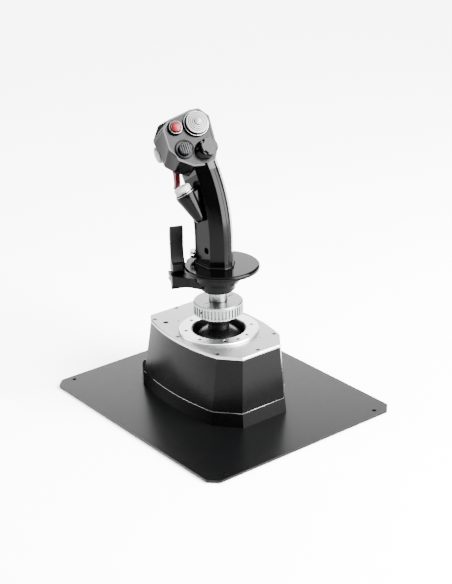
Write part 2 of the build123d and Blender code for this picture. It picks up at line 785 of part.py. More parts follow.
def face_spot(place, turn=0.0):
    """Plane on the head's face at a switch, its axis turned to the right by turn degrees."""
    right, up = place
    angle = math.radians(turn)
    return Plane(
        origin=face.from_local_coords(Vector(right, up, 0)),
        x_dir=face.x_dir * math.cos(angle) - face.z_dir * math.sin(angle),
        z_dir=face.z_dir * math.cos(angle) + face.x_dir * math.sin(angle),
    )


pocket_depth = panel_recess + panel_thickness
trim_spot = face_spot(trim_place)
weapon_spot = face_spot(weapon_place)
select_spot = face_spot(select_place)
castle_spot = face_spot(castle_place)
castle_axis = face_spot(castle_place, turn=castle_tilt)
event_spot = Plane(
    origin=face.from_local_coords(Vector(-52.2, 28.0, -33.0)),
    x_dir=face.y_dir,
    z_dir=face.from_local_coords(Vector(-0.88, 0.0, -0.47)) - face.origin,
)

with BuildPart() as head_rear_cover:
    add(head_hollow.part)
    split(bisect_by=face.offset(-side_depth), keep=Keep.TOP)
    with BuildSketch(face.offset(-pocket_depth)) as panel_pocket:
        with BuildLine():
            Polyline(*head_face, close=True)
        make_face()
        fillet(panel_pocket.vertices(), 5.0)
        offset(amount=-panel_inset, kind=Kind.INTERSECTION)
    extrude(amount=10.0, mode=Mode.SUBTRACT)
    for spot in (trim_spot, select_spot, castle_axis):
        with Locations(spot):
            Cylinder(hat_bore_radius, 24.0, mode=Mode.SUBTRACT)
    with Locations(weapon_spot):
        Cylinder(weapon_button_radius + running_gap, 24.0, mode=Mode.SUBTRACT)
    with Locations(trim_spot.offset(-pocket_depth)):
        Cylinder(trim_bezel_radius + 0.1, 12.0, align=(Align.CENTER, Align.CENTER, Align.MIN),
                 mode=Mode.SUBTRACT)
    with Locations(event_spot):
        Cylinder(event_radius + running_gap, 16.0, mode=Mode.SUBTRACT)
save(head_rear_cover, "head_rear_cover")

with BuildPart() as head_front_cover:
    add(head_hollow.part)
    split(bisect_by=face.offset(-side_depth), keep=Keep.BOTTOM)
    with Locations(event_spot):
        Cylinder(event_radius + running_gap, 16.0, mode=Mode.SUBTRACT)
    with Locations((trigger_x, trigger_pin_y, trigger_pin_z)):
        Box(trigger_width + 0.8, 22.0, 34.0, mode=Mode.SUBTRACT)
        for side in (-1, 1):
            with Locations((side * (trigger_width / 2 + 2.4), 0.0, 1.0)):
                Box(4.0, 10.0, 12.0)
        Cylinder(trigger_pin_radius + fit_gap, 40.0, rotation=(0, 90, 0), mode=Mode.SUBTRACT)
save(head_front_cover, "head_front_cover")

with BuildPart() as face_plate:
    with BuildSketch(face.offset(-pocket_depth)) as panel_shape:
        with BuildLine():
            Polyline(*head_face, close=True)
        make_face()
        fillet(panel_shape.vertices(), 5.0)
        offset(amount=-panel_inset - 0.1, kind=Kind.INTERSECTION)
    extrude(amount=panel_thickness)
    chamfer(face_plate.faces().sort_by(Axis(face.origin, face.z_dir))[-1].edges(), 0.4)
    for spot, radius in ((trim_spot, trim_bezel_radius), (weapon_spot, weapon_collar_radius),
                         (select_spot, select_bezel_radius), (castle_spot, castle_collar_radius)):
        with Locations(spot):
            Cylinder(radius + 0.1, 24.0, mode=Mode.SUBTRACT)
save(face_plate, "face_plate")

# ---------------------------------------------------------------- hat switches and buttons


def turned(spot, points):
    """A piece turned about the spot's axis; each point is a radius and a height over the face."""
    with BuildPart() as piece:
        with BuildSketch(Plane(origin=spot.origin, x_dir=spot.x_dir, z_dir=-spot.y_dir)):
            with BuildLine():
                Polyline(*points, close=True)
            make_face()
        revolve(axis=Axis(spot.origin, spot.z_dir))
    return piece


trim_bezel = turned(trim_spot, [(hat_bore_radius, -pocket_depth), (trim_bezel_radius, -pocket_depth),
                                (trim_bezel_radius, 0.6), (trim_bezel_radius - 0.8, 3.0),
                                (trim_bezel_radius - 1.4, 3.4), (trim_bezel_radius - 1.8, 1.6),
                                (hat_bore_radius, 0.8)])
save(trim_bezel, "trim_bezel")

weapon_collar = turned(weapon_spot, [(weapon_button_radius + running_gap, -pocket_depth),
                                     (weapon_collar_radius, -pocket_depth), (weapon_collar_radius, 0.4),
                                     (8.6, 3.0), (8.2, 4.2), (7.2, 4.2), (6.9, 3.4),
                                     (weapon_button_radius + running_gap, 3.4)])
save(weapon_collar, "weapon_collar")

select_bezel = turned(select_spot, [(hat_bore_radius, -pocket_depth), (select_bezel_radius, -pocket_depth),
                                    (select_bezel_radius, 0.8), (11.2, 1.4), (11.0, 0.9), (10.7, 0.9),
                                    (10.5, 2.0), (10.1, 2.0), (10.0, 0.4), (hat_bore_radius, 0.4)])
save(select_bezel, "select_bezel")

with BuildPart() as castle_collar:
    add(turned(castle_spot, [(0.0, -pocket_depth), (castle_collar_radius, -pocket_depth),
                             (castle_collar_radius, 0.4), (9.6, 3.4), (8.0, 5.6), (0.0, 5.6)]).part)
    with Locations(castle_axis):
        Cylinder(hat_bore_radius, 30.0, mode=Mode.SUBTRACT)
save(castle_collar, "castle_collar")

with BuildPart() as switch_housings:
    for spot in (trim_spot, select_spot, castle_axis, weapon_spot):
        with Locations(spot):
            Box(housing_size, housing_size, 15.5, align=(Align.CENTER, Align.CENTER, Align.MAX))
    add(head_cavity.part, mode=Mode.INTERSECT)
    for spot in (trim_spot, select_spot, castle_axis):
        with Locations(spot.offset(-14.3)):
            Cylinder(5.8, 20.0, align=(Align.CENTER, Align.CENTER, Align.MIN), mode=Mode.SUBTRACT)
        with Locations(spot.offset(-hat_pivot_depth)):
            Cylinder(0.8 + running_gap, 14.0, rotation=(0, 90, 0), mode=Mode.SUBTRACT)
    with Locations(weapon_spot.offset(-7.2)):
        Cylinder(weapon_button_radius + 0.4, 10.0, align=(Align.CENTER, Align.CENTER, Align.MIN),
                 mode=Mode.SUBTRACT)
save(switch_housings, "switch_housings")


def hat_pivot(spot, name):
    """The ring that carries a hat switch's first tilt axis on two pins."""
    with BuildPart() as ring:
        with Locations(spot.offset(-hat_pivot_depth)):
            Cylinder(0.8, 13.6, rotation=(0, 90, 0))
            Cylinder(5.4, 2.6)
            Cylinder(4.1, 2.6, mode=Mode.SUBTRACT)
            Cylinder(0.7 + running_gap, 12.0, rotation=(90, 0, 0), mode=Mode.SUBTRACT)
    save(ring, name)


def hat_sleeve(spot, name):
    """The sleeve that carries a hat switch's second tilt axis and guides its push."""
    with BuildPart() as sleeve:
        with Locations(spot.offset(-hat_pivot_depth)):
            Cylinder(0.7, 10.4, rotation=(90, 0, 0))
            Cylinder(3.2, 4.0)
            Cylinder(push_stem_radius + running_gap, 4.0, mode=Mode.SUBTRACT)
    save(sleeve, name)


hat_pivot(trim_spot, "trim_pivot")
hat_pivot(select_spot, "select_pivot")
hat_pivot(castle_axis, "castle_pivot")
hat_sleeve(select_spot, "select_sleeve")
hat_sleeve(castle_axis, "castle_sleeve")

with BuildPart() as trim_cap:
    add(turned(trim_spot, [(0.0, -hat_pivot_depth - 2.0), (hat_stem_radius, -hat_pivot_depth - 2.0),
                           (hat_stem_radius, 5.5), (5.0, 6.5), (13.4, 6.5), (trim_cap_radius, 7.2),
                           (trim_cap_radius, 8.3), (13.2, 9.2), (4.8, 13.0), (2.6, 15.2), (1.6, 16.2),
                           (0.9, 16.6), (0.0, 16.7)]).part)
    with Locations(trim_spot.offset(-hat_pivot_depth)):
        Cylinder(0.7, 10.4, rotation=(90, 0, 0))
save(trim_cap, "trim_cap")

weapon_button = turned(weapon_spot, [(0.0, -4.0), (weapon_button_radius, -4.0), (weapon_button_radius, 6.6),
                                     (5.8, 7.8), (4.4, 8.6), (2.2, 9.0), (0.0, 9.1)])
save(weapon_button, "weapon_button")

with BuildPart() as select_cap:
    add(turned(select_spot, [(0.0, -hat_pivot_depth - 3.5), (push_stem_radius, -hat_pivot_depth - 3.5),
                             (push_stem_radius, 3.0), (4.0, 4.0), (select_cap_radius - 1.0, 4.0),
                             (select_cap_radius - 0.6, 4.6), (select_cap_radius - 0.8, 6.6), (7.0, 7.8),
                             (0.0, 8.2)]).part)
    with Locations(select_spot.offset(8.4)):
        with GridLocations(2.6, 0.0, 5, 1):
            Box(1.2, 20.0, 4.0, mode=Mode.SUBTRACT)
save(select_cap, "select_cap")

with BuildPart() as castle_cap:
    add(turned(castle_axis, [(0.0, -hat_pivot_depth - 3.5), (push_stem_radius, -hat_pivot_depth - 3.5),
                             (push_stem_radius, 9.4), (castle_cap_radius - 2.0, 9.4),
                             (castle_cap_radius, 11.0), (castle_cap_radius, 14.6),
                             (castle_cap_radius - 0.6, 15.2), (0.0, 15.2)]).part)
    with Locations(castle_axis.offset(15.2)):
        with PolarLocations(castle_cap_radius, 4, start_angle=45.0):
            Box(5.6, 5.4, 6.0, mode=Mode.SUBTRACT)
save(castle_cap, "castle_cap")

with BuildPart() as event_button:
    add(turned(event_spot, [(0.0, -4.5), (event_radius, -4.5), (event_radius, 2.6), (9.4, 4.4),
                            (6.0, 5.6), (0.0, 6.0)]).part)
    with Locations(event_spot.offset(6.0)):
        with Locations((-5.5, 0.0, 0.0)):
            Box(1.8, 12.0, 5.0, mode=Mode.SUBTRACT)
save(event_button, "event_button")

# ---------------------------------------------------------------- trigger

with BuildPart() as trigger:
    with BuildSketch(Plane.YZ.offset(trigger_x)) as blade:
        with BuildLine():
            Spline((trigger_pin_y + 5.5, trigger_pin_z + 1.0), (trigger_pin_y + 5.0, trigger_pin_z - 11.0),
                   (trigger_pin_y + 3.4, trigger_pin_z - 20.0), (trigger_pin_y + 4.6, trigger_pin_z - 31.0))
            Line((trigger_pin_y + 4.6, trigger_pin_z - 31.0), (trigger_pin_y + 1.0, trigger_pin_z - 32.0))
            Spline((trigger_pin_y + 1.0, trigger_pin_z - 32.0), (trigger_pin_y - 1.2, trigger_pin_z - 20.0),
                   (trigger_pin_y - 1.0, trigger_pin_z - 10.0), (trigger_pin_y - 4.0, trigger_pin_z + 1.0))
            ThreePointArc((trigger_pin_y - 4.0, trigger_pin_z + 1.0),
                          (trigger_pin_y + 0.8, trigger_pin_z + 5.0),
                          (trigger_pin_y + 5.5, trigger_pin_z + 1.0))
        make_face()
    extrude(amount=trigger_width / 2, both=True)
    with Locations((trigger_x, trigger_pin_y, trigger_pin_z)):
        Cylinder(trigger_pin_radius + running_gap, 40.0, rotation=(0, 90, 0), mode=Mode.SUBTRACT)
save(trigger, "trigger")

# ---------------------------------------------------------------- side pod

pod = Plane(origin=pod_ring, x_dir=(1, 0, 0.35), z_dir=pod_axis)

with BuildPart() as side_pod:
    with BuildSketch(pod.offset(-pod_length + 4.0)):
        with Locations((pod_radius / 2 + 1.0, 0.0)):
            Rectangle(pod_radius + 2.0, 10.0)
    with BuildSketch(pod.offset(-1.5)):
        with Locations((pod_radius / 2 + 1.0, 0.0)):
            Rectangle(pod_radius + 2.0, 22.0)
    loft(ruled=True)
    add(turned(pod, [(0.0, -pod_length), (5.0, -pod_length), (7.0, -pod_length + 3.0), (pod_radius, -2.0),
                     (pod_radius, 0.0), (0.0, 0.0)]).part)
    add(column_outside.part, mode=Mode.SUBTRACT)
    with Locations(pod):
        Cylinder(pod_button_radius + running_gap, 14.0, mode=Mode.SUBTRACT)
save(side_pod, "side_pod")

with BuildPart() as pod_collar:
    add(turned(pod, [(pod_button_radius + running_gap, 0.0), (pod_radius, 0.0), (pod_radius, 1.4),
                     (12.0, 1.8), (12.0, 2.8), (11.2, 3.2), (11.2, 4.4),
                     (pod_button_radius + running_gap, 4.4)]).part)
    add(column_outside.part, mode=Mode.SUBTRACT)
save(pod_collar, "pod_collar")

with BuildPart() as pod_button:
    add(turned(pod, [(0.0, -4.5), (pod_button_radius, -4.5), (pod_button_radius, 9.6), (9.4, 11.2),
                     (6.0, 12.2), (0.0, 12.6)]).part)
    with Locations(pod.offset(12.6)):
        Box(1.0, 24.0, 3.0, mode=Mode.SUBTRACT)
save(pod_button, "pod_button")

# ---------------------------------------------------------------- paddle lever

lever_pin_line = Plane(origin=lever_place, x_dir=(0, 0, 1), z_dir=lever_plane.x_dir)

with BuildPart() as lever_bracket:
    with BuildSketch(lever_plane.offset(-9.0)) as bracket_web:
        with BuildLine():
            Polyline((-ear_outer, -6.5), (ear_outer, -6.5), (30.0, -5.0), (36.0, -20.0), (20.0, -38.0),
                     (8.0, -26.0), (-ear_outer, -13.0), close=True)
        make_face()
        fillet(bracket_web.vertices().group_by(Axis.X)[0], 2.0)
    extrude(amount=12.8)
    with BuildSketch(lever_plane.offset(-6.0)):
        for side in (-1, 1):
            with Locations((side * (ear_inner + ear_outer) / 2, -1.5)):
                Rectangle(ear_outer - ear_inner, 13.0)
    extrude(amount=11.0)
    with Locations(lever_pin_line):
        Cylinder(lever_pin_radius + fit_gap, 40.0, mode=Mode.SUBTRACT)
    add(grip_bell.part, mode=Mode.SUBTRACT)
save(lever_bracket, "lever_bracket")

with BuildPart() as pivot_pins:
    with Locations(lever_pin_line):
        Cylinder(lever_pin_radius, 2 * ear_outer + 1.0)
    with Locations((trigger_x, trigger_pin_y, trigger_pin_z)):
        Cylinder(trigger_pin_radius, trigger_width + 8.0, rotation=(0, 90, 0))
save(pivot_pins, "pivot_pins")

with BuildPart() as paddle_lever:
    with BuildSketch(Plane(origin=lever_place, x_dir=lever_plane.y_dir, z_dir=lever_plane.x_dir)):
        with BuildLine():
            Polyline((-1.5, lever_height), (1.2, lever_height), (2.2, lever_height - 2.0))
            Spline((2.2, lever_height - 2.0), (3.2, 40.0), (2.2, 24.0), (3.6, 14.0))
            Polyline((3.6, 14.0), (5.4, 4.0), (5.0, -5.0), (2.4, -18.0), (-1.0, -18.6),
                     (-5.0, -6.0), (-5.2, 4.0),
                     (-9.0, 8.5), (-9.0, 16.5), (-5.0, 19.0))
            Spline((-5.0, 19.0), (-1.6, 28.0), (-0.6, 42.0), (-2.0, lever_height - 1.5))
            Line((-2.0, lever_height - 1.5), (-1.5, lever_height))
        make_face()
    extrude(amount=lever_width / 2, both=True)
    with Locations(lever_pin_line):
        with Locations((0.0, 0.0, ear_inner + 9.9), (0.0, 0.0, -ear_inner - 9.9)):
            Box(15.0, 30.0, 20.0, mode=Mode.SUBTRACT)
        Cylinder(lever_pin_radius + running_gap, 40.0, mode=Mode.SUBTRACT)
save(paddle_lever, "paddle_lever")

# ---------------------------------------------------------------- fasteners and board in the grip

with BuildPart() as grip_screws:
    with Locations(corner_screw):
        Cylinder(6.2, 6.6, align=(Align.CENTER, Align.CENTER, Align.MIN))
        Cylinder(2.0, 10.0, align=(Align.CENTER, Align.CENTER, Align.MAX))
    fillet(grip_screws.faces().sort_by(Axis(corner_screw.origin, corner_screw.z_dir))[-1].edges(), 2.4)
    with Locations(corner_screw.offset(6.6)):
        Cylinder(2.4, 5.0, mode=Mode.SUBTRACT)
    with Locations(side_screw):
        Cylinder(3.7, 1.8, align=(Align.CENTER, Align.CENTER, Align.MIN))
        Cylinder(1.68, 5.0, align=(Align.CENTER, Align.CENTER, Align.MAX))
    with BuildSketch(side_screw.offset(1.8)):
        RegularPolygon(1.5, 6)
    extrude(amount=-1.2, mode=Mode.SUBTRACT)
save(grip_screws, "grip_screws")

with BuildPart() as grip_board:
    with Locations((0.0, column_y + 2.0, 222.0)):
        Box(board_width, 1.6, 50.0)
    with Locations((0.0, column_y + 1.2, 228.0)):
        Box(9.0, 1.4, 9.0, align=(Align.CENTER, Align.MAX, Align.CENTER))
    with Locations((0.0, column_y + 1.2, 206.0)):
        Box(10.0, 5.0, 6.0, align=(Align.CENTER, Align.MAX, Align.CENTER))
save(grip_board, "grip_board")
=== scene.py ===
"""Flight joystick: finishes, turned trim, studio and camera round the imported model. Metres, +Z up."""
import json
import math
import bmesh
import bpy
from mathutils import Matrix, Vector


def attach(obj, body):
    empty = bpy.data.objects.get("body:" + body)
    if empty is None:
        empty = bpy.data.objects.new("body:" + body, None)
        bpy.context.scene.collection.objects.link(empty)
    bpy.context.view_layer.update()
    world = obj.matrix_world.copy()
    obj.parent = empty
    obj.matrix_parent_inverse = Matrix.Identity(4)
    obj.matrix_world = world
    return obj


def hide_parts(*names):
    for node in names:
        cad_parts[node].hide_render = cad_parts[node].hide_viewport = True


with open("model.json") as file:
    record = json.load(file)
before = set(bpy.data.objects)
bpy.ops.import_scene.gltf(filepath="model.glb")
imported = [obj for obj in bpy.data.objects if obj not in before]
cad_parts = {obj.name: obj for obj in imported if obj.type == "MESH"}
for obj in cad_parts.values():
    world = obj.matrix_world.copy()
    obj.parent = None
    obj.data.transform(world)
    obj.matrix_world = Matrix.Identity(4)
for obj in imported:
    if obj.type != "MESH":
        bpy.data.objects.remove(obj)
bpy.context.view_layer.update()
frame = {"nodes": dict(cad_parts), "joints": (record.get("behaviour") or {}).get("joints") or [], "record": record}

nodes = frame["nodes"]
UP = Vector((0.0, 0.0, 1.0))
MM = 0.001


# ---------------------------------------------------------------- materials


class Surface:
    """A Principled material with short calls for the textures that the finishes share."""

    def __init__(self, name, color, roughness, metallic=0.0, specular=0.5):
        self.material = bpy.data.materials.new(name)
        self.material.use_nodes = True
        self.tree = self.material.node_tree
        self.shader = self.tree.nodes["Principled BSDF"]
        self.color = (*color, 1.0)
        self.put("Base Color", self.color)
        self.put("Roughness", roughness)
        self.put("Metallic", metallic)
        self.put("Specular IOR Level", specular)
        self.place = self.tree.nodes.new("ShaderNodeTexCoord").outputs["Object"]

    def put(self, socket, value):
        self.shader.inputs[socket].default_value = value

    def link(self, source, target):
        self.tree.links.new(source, target)

    def noise(self, scale, detail=3.0, stretch=(1.0, 1.0, 1.0)):
        """Noise in the object's own space; scale counts its cells per metre."""
        mapping = self.tree.nodes.new("ShaderNodeMapping")
        mapping.inputs["Scale"].default_value = stretch
        self.link(self.place, mapping.inputs["Vector"])
        texture = self.tree.nodes.new("ShaderNodeTexNoise")
        texture.inputs["Scale"].default_value = scale
        texture.inputs["Detail"].default_value = detail
        self.link(mapping.outputs["Vector"], texture.inputs["Vector"])
        return texture.outputs["Fac"]

    def rings(self, lines):
        """Fine concentric turning marks about the frame's Z; lines counts them per metre."""
        mapping = self.tree.nodes.new("ShaderNodeMapping")
        mapping.inputs["Scale"].default_value = (1.0, 1.0, 0.0)
        self.link(self.place, mapping.inputs["Vector"])
        texture = self.tree.nodes.new("ShaderNodeTexWave")
        texture.wave_type = "RINGS"
        texture.rings_direction = "SPHERICAL"
        texture.inputs["Scale"].default_value = lines
        texture.inputs["Distortion"].default_value = 1.5
        texture.inputs["Detail"].default_value = 2.0
        self.link(mapping.outputs["Vector"], texture.inputs["Vector"])
        return texture.outputs["Fac"]

    def remap(self, value, start, end, low, high):
        """value, with start to end stretched over low to high."""
        ramp = self.tree.nodes.new("ShaderNodeMapRange")
        ramp.inputs["From Min"].default_value = start
        ramp.inputs["From Max"].default_value = end
        ramp.inputs["To Min"].default_value = low
        ramp.inputs["To Max"].default_value = high
        self.link(value, ramp.inputs["Value"])
        return ramp.outputs["Result"]

    def spread(self, noise, low, high):
        """A noise, whose values crowd round a half, spread over low to high."""
        return self.remap(noise, 0.3, 0.7, low, high)

    def blend_color(self, factor, darker, lighter):
        """Base colour between two multiples of itself."""
        mix = self.tree.nodes.new("ShaderNodeMix")
        mix.data_type = "RGBA"
        mix.inputs["A"].default_value = (*(c * darker for c in self.color[:3]), 1.0)
        mix.inputs["B"].default_value = (*(c * lighter for c in self.color[:3]), 1.0)
        self.link(factor, mix.inputs["Factor"])
        self.link(mix.outputs["Result"], self.shader.inputs["Base Color"])

    def vary_color(self, noise, darker, lighter):
        self.blend_color(self.spread(noise, 0.0, 1.0), darker, lighter)

    def vary_roughness(self, noise, low, high):
        self.link(self.spread(noise, low, high), self.shader.inputs["Roughness"])

    def painted_crevice_shade(self, reach, darkest):
        """Painted shade: darkens the base colour by ambient occlusion in grooves narrower than reach metres, to
        darkest times itself.
        """
        node = self.tree.nodes.new("ShaderNodeAmbientOcclusion")
        node.inputs["Distance"].default_value = reach
        self.blend_color(self.remap(node.outputs["AO"], 0.35, 0.95, 0.0, 1.0), darkest, 1.0)

    def bump(self, factor, height, strength=1.0):
        """Relief of that height in metres."""
        node = self.tree.nodes.new("ShaderNodeBump")
        node.inputs["Strength"].default_value = strength
        node.inputs["Distance"].default_value = height
        self.link(factor, node.inputs["Height"])
        self.link(node.outputs["Normal"], self.shader.inputs["Normal"])


def powder_coat():
    s = Surface("powder_coat", (0.0006, 0.0006, 0.00065), 0.3, specular=0.07)
    s.vary_color(s.noise(220.0), 0.8, 1.3)
    s.vary_roughness(s.noise(120.0), 0.28, 0.33)
    s.bump(s.noise(900.0, 2.0), 0.00003, 0.3)
    return s.material


def casing_paint():
    s = Surface("casing_paint", (0.0005, 0.0005, 0.00055), 0.24, specular=0.038)
    s.vary_color(s.noise(180.0), 0.85, 1.25)
    s.vary_roughness(s.noise(40.0), 0.22, 0.26)
    return s.material


def satin_aluminium():
    s = Surface("satin_aluminium", (0.24, 0.242, 0.247), 0.38, metallic=1.0)
    s.vary_color(s.noise(700.0, 2.0), 0.93, 1.06)
    s.vary_roughness(s.noise(200.0), 0.34, 0.44)
    s.bump(s.noise(1100.0, 2.0), 0.00002, 0.3)
    return s.material


def brushed_aluminium():
    s = Surface("brushed_aluminium", (0.13, 0.131, 0.134), 0.32, metallic=1.0)
    # Painted shade: the grooves between the ribs are darkened in the colour by ambient occlusion.
    s.painted_crevice_shade(0.003, 0.12)
    s.vary_roughness(s.noise(200.0), 0.28, 0.38)
    s.bump(s.noise(700.0, 2.0, (1.0, 1.0, 6.0)), 0.00002, 0.3)
    return s.material


def turned_aluminium():
    s = Surface("turned_aluminium", (0.5, 0.503, 0.51), 0.3, metallic=1.0)
    marks = s.rings(450.0)
    s.vary_color(marks, 0.95, 1.04)
    s.vary_roughness(s.noise(60.0), 0.26, 0.34)
    s.bump(marks, 0.00001, 0.25)
    return s.material


def dark_anodised():
    s = Surface("dark_anodised", (0.02, 0.02, 0.022), 0.32, metallic=0.9)
    s.vary_roughness(s.noise(80.0), 0.26, 0.38)
    s.bump(s.rings(500.0), 0.00001, 0.3)
    return s.material


def moulded_gloss(name, specular):
    s = Surface(name, (0.0003, 0.0003, 0.00033), 0.13, specular=specular)
    s.vary_roughness(s.noise(160.0), 0.11, 0.16)
    s.bump(s.noise(500.0, 2.0), 0.00001, 0.2)
    return s.material


def moulded_satin():
    s = Surface("moulded_satin", (0.0005, 0.0005, 0.00055), 0.27, specular=0.06)
    s.vary_roughness(s.noise(260.0), 0.24, 0.3)
    s.bump(s.noise(1200.0, 2.0), 0.00002, 0.4)
    return s.material


def moulded_matte():
    s = Surface("moulded_matte", (0.0004, 0.0004, 0.00045), 0.36, specular=0.04)
    s.vary_color(s.noise(350.0), 0.8, 1.3)
    s.vary_roughness(s.noise(450.0), 0.34, 0.46)
    s.bump(s.noise(1500.0, 2.0), 0.00003, 0.4)
    return s.material


def black_oxide():
    s = Surface("black_oxide", (0.004, 0.004, 0.0044), 0.35, metallic=0.6, specular=0.2)
    s.vary_roughness(s.noise(600.0), 0.3, 0.45)
    return s.material


def switch_plastic(name, color, roughness):
    s = Surface(name, color, roughness, specular=0.12)
    # Painted shade: the grooves of the switches are darkened in the colour by ambient occlusion.
    s.painted_crevice_shade(0.004, 0.08)
    s.vary_roughness(s.noise(200.0), roughness - 0.04, roughness + 0.05)
    s.bump(s.noise(1500.0, 2.0), 0.00001, 0.3)
    return s.material


def ground_steel():
    s = Surface("ground_steel", (0.55, 0.555, 0.565), 0.3, metallic=1.0)
    s.vary_roughness(s.noise(400.0, stretch=(1.0, 1.0, 8.0)), 0.24, 0.38)
    s.bump(s.noise(900.0, 2.0, (1.0, 1.0, 10.0)), 0.00002, 0.3)
    return s.material


def polished_metal():
    s = Surface("polished_metal", (0.5, 0.503, 0.51), 0.16, metallic=1.0)
    s.vary_roughness(s.noise(150.0), 0.12, 0.2)
    s.bump(s.noise(500.0, 2.0), 0.00001, 0.2)
    return s.material


def pad_rubber():
    s = Surface("pad_rubber", (0.02, 0.02, 0.02), 0.75, specular=0.25)
    s.vary_color(s.noise(60.0), 0.8, 1.3)
    s.bump(s.noise(1200.0), 0.0001, 0.6)
    return s.material


def board_green():
    s = Surface("board_green", (0.03, 0.16, 0.07), 0.4)
    s.vary_color(s.noise(90.0), 0.8, 1.2)
    return s.material


finishes = {
    "powder_black": powder_coat(),
    "casing_black": casing_paint(),
    "satin_aluminium": satin_aluminium(),
    "turned_aluminium": turned_aluminium(),
    "brushed_aluminium": brushed_aluminium(),
    "dark_anodised": dark_anodised(),
    "black_gloss": moulded_gloss("moulded_gloss", 0.033),
    "head_gloss": moulded_gloss("head_gloss", 0.08),
    "black_matte": moulded_matte(),
    "black_satin": moulded_satin(),
    "black_oxide": black_oxide(),
    "grey_matte": switch_plastic("grey_switch", (0.10, 0.10, 0.105), 0.42),
    "white_matte": switch_plastic("white_switch", (0.14, 0.14, 0.138), 0.34),
    "red_gloss": switch_plastic("red_switch", (0.04, 0.0001, 0.0012), 0.3),
    "steel": ground_steel(),
    "bright_chrome": polished_metal(),
    "pad_rubber": pad_rubber(),
    "board_green": board_green(),
}


def coat(name, finish):
    """Gives a CAD piece one of the finishes."""
    nodes[name].data.materials.clear()
    nodes[name].data.materials.append(finishes[finish])


for part in frame["record"]["subparts"]:
    coat(part["node"], part["material_slot"])

# These pieces look a little different from the finish that their record names.
for name in ("face_plate", "castle_cap"):
    coat(name, "black_satin")
for name in ("trim_bezel", "weapon_collar", "select_bezel", "castle_collar"):
    coat(name, "black_gloss")
for name in ("head_front_cover", "head_rear_cover"):
    coat(name, "head_gloss")
coat("select_cap", "black_oxide")
for name in ("top_plate_screws", "gimbal_ring_screws", "locking_ring_screws"):
    coat(name, "black_oxide")
for name in ("grip_neck", "locking_ring"):
    coat(name, "brushed_aluminium")


# ---------------------------------------------------------------- softened edges of the CAD pieces


def soften(name, width, angle=32.0, segments=3):
    """Rounds a CAD piece's edges that bend by more than angle degrees, width millimetres wide."""
    piece = nodes[name]
    weld = piece.modifiers.new("weld", "WELD")
    weld.merge_threshold = 0.000002
    bevel = piece.modifiers.new("bevel", "BEVEL")
    bevel.width = width * MM
    bevel.segments = segments
    bevel.limit_method = "ANGLE"
    bevel.angle_limit = math.radians(angle)
    bevel.harden_normals = True
    bevel.use_clamp_overlap = True


soften("lever_bracket", 0.4)
for name in ("top_plate", "gimbal_ring", "castle_collar", "castle_cap"):
    soften(name, 0.18)
for name in ("head_rear_cover", "head_front_cover"):
    soften(name, 1.2, 14.0)
for name in ("grip_left_shell", "grip_right_shell"):
    soften(name, 0.3)
for name in ("side_pod", "trigger", "paddle_lever"):
    soften(name, 0.5)


# ---------------------------------------------------------------- turned trim, with bright rims and a bead painted as highlights


joints = {joint["name"]: joint for joint in frame["joints"]}
trim_centre = Vector(joints["trim_tilt_up"]["pos_m"])
face_right = Vector(joints["trim_tilt_up"]["axis"])
face_up = Vector(joints["trim_tilt_side"]["axis"])
face_out = face_right.cross(face_up)

# Millimetres, in the face's frame and the object's.
PIVOT_DEPTH = 8.5                            # from the face down to the pivots of its hats
WEAPON_RIGHT = -26.8                         # the red button, from the middle of the trim hat
WEAPON_UP = 0.5
POD_RING = Vector((-30.1, 20.4, 278.0))      # the middle of the pod's collar
POD_ALONG = Vector((1.0, 0.0, 0.35))
DOME_RADIUS = 40.0
BEAD_RADIUS = 0.25
AXIS_RADIUS = 0.001                          # a profile point nearer than this to the axis is on it
RIM_DEPTH = 1.2                              # how far inside its neighbours a rim's outer corner may lie

CREASE = 30.0                                # degrees; sharper bends in a turned piece stay sharp
NEIGHBOUR_ANGLE = 4.0                        # degrees round the vertical
LEVEL_SLACK = 0.00002                        # metres


def riding_piece(name, bm, body, finish):
    """Makes the bmesh a smooth piece that rides on body and wears that finish."""
    mesh = bpy.data.meshes.new(name)
    bm.to_mesh(mesh)
    bm.free()
    mesh.polygons.foreach_set("use_smooth", [True] * len(mesh.polygons))
    mesh.materials.append(finishes[finish])
    piece = bpy.data.objects.new(name, mesh)
    bpy.context.scene.collection.objects.link(piece)
    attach(piece, body)
    return piece


def ring_faces(bm, low, high):
    """Faces between two closed rows of vertices; a row of one vertex is a point."""
    steps = max(len(low), len(high))
    for i in range(steps):
        j = (i + 1) % steps
        corners = [low[i % len(low)], low[j % len(low)], high[j % len(high)], high[i % len(high)]]
        unique = list(dict.fromkeys(corners))
        if len(unique) > 2:
            bm.faces.new(unique)


def turn_frame(origin, along, out):
    """Matrix that puts a piece turned about Z at origin, its X along `along`, its Z along `out`."""
    across = out.cross(along)
    turn = Matrix((along, across, out)).transposed()
    return Matrix.Translation(origin) @ turn.to_4x4()


def turned(name, place, profile, body, finish, steps=96):
    """A piece turned about its own Z; the profile lists radius and height in millimetres, end to end."""
    bm = bmesh.new()
    rows = []
    for radius, height in profile:
        if radius < AXIS_RADIUS:
            rows.append([bm.verts.new((0.0, 0.0, height * MM))])
            continue
        turns = [math.tau * i / steps for i in range(steps)]
        rows.append([
            bm.verts.new((radius * MM * math.cos(turn), radius * MM * math.sin(turn), height * MM))
            for turn in turns
        ])
    for low, high in zip(rows, rows[1:]):
        ring_faces(bm, low, high)
    bmesh.ops.recalc_face_normals(bm, faces=bm.faces)
    bm.transform(place)
    piece = riding_piece(name, bm, body, finish)
    piece.data.set_sharp_from_angle(angle=math.radians(CREASE))
    return piece


def hat_ridges():
    """Four concentric ridges that climb towards the middle of the hat, with a groove inside each."""
    points = []
    for i in range(4):
        radius = 12.9 - 2.1 * i
        height = 9.3 + 0.95 * i
        points += [(radius, height), (radius - 1.1, height + 0.5),
                   (radius - 1.25, height - 1.0), (radius - 1.95, height - 1.0)]
    return points


